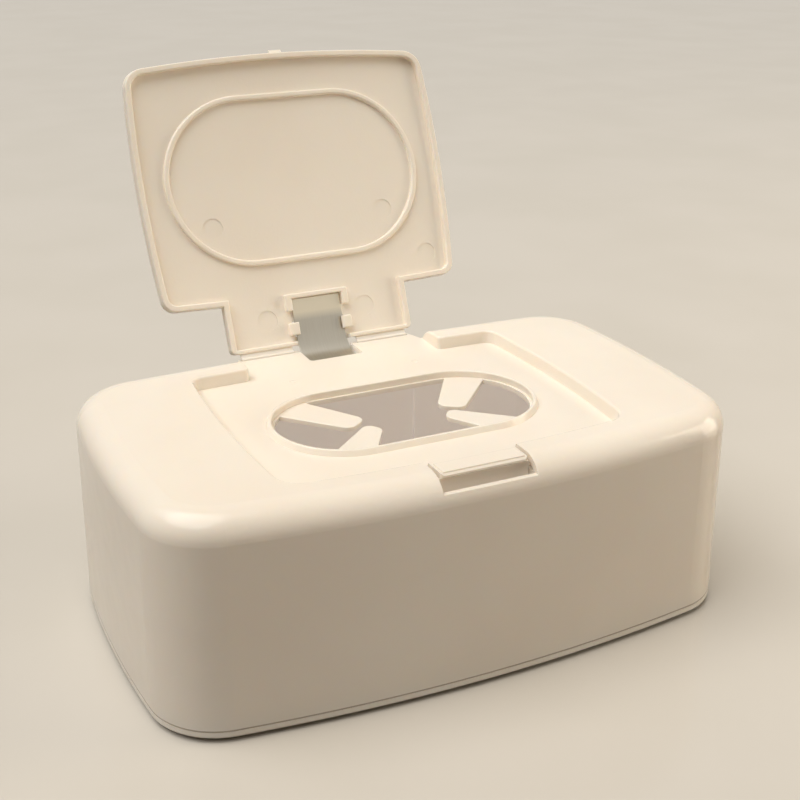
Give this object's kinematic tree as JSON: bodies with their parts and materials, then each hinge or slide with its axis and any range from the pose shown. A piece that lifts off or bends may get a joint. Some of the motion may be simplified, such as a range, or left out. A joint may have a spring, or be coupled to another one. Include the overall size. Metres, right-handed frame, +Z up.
{
  "type": "wipes dispenser",
  "caption": "Flip-top tub for baby wipes: rounded box shell lifting off a flat base, hinged lid held open, oval pull-through opening with holding fingers, front push latch.",
  "frame": {"origin": "on the table plane, under the middle of the whole object with its lid open", "axes": "+X along the long side, +Y from the latch towards the hinge, +Z up"},
  "size_m": [0.19, 0.1638, 0.1591],
  "materials": {
    "base_plastic": "moulded polypropylene, warm white, gloss",
    "shell_plastic": "moulded polypropylene, warm white, gloss",
    "lid_plastic": "moulded polypropylene, warm white, gloss",
    "button_plastic": "moulded polypropylene, warm white, gloss",
    "leaf_steel": "satin spring steel strip",
    "coil_steel": "drawn spring wire",
    "foot_rubber": "matt soft rubber"
  },
  "bodies": {
    "base": {"base_plate": "base_plastic", "foot_front_left": "foot_rubber", "foot_rear_left": "foot_rubber", "foot_front_right": "foot_rubber", "foot_rear_right": "foot_rubber"},
    "housing": {"housing": "shell_plastic", "latch_spring": "coil_steel", "leaf_spring": "leaf_steel"},
    "lid": {"lid": "lid_plastic"},
    "button": {"latch_button": "button_plastic"}
  },
  "joints": [
    {"name": "housing_lift", "type": "slide", "parent": "base", "child": "housing", "axis": [0, 0, 1], "range_m": [0, 0.08]},
    {"name": "lid_hinge", "type": "hinge", "parent": "housing", "child": "lid", "pos_m": [0, 0.03765, 0.0641], "axis": [1, 0, 0], "range_deg": [0, 113.2], "stiffness_Nm_per_rad": 0.014, "springref_deg": -20.05, "deforming": ["leaf_spring"]},
    {"name": "latch_press", "type": "hinge", "parent": "housing", "child": "button", "pos_m": [0, -0.06925, 0.0604], "axis": [1, 0, 0], "range_deg": [0, 7], "stiffness_Nm_per_rad": 0.15, "springref_deg": -5.73, "deforming": ["latch_spring"]}
  ]
}
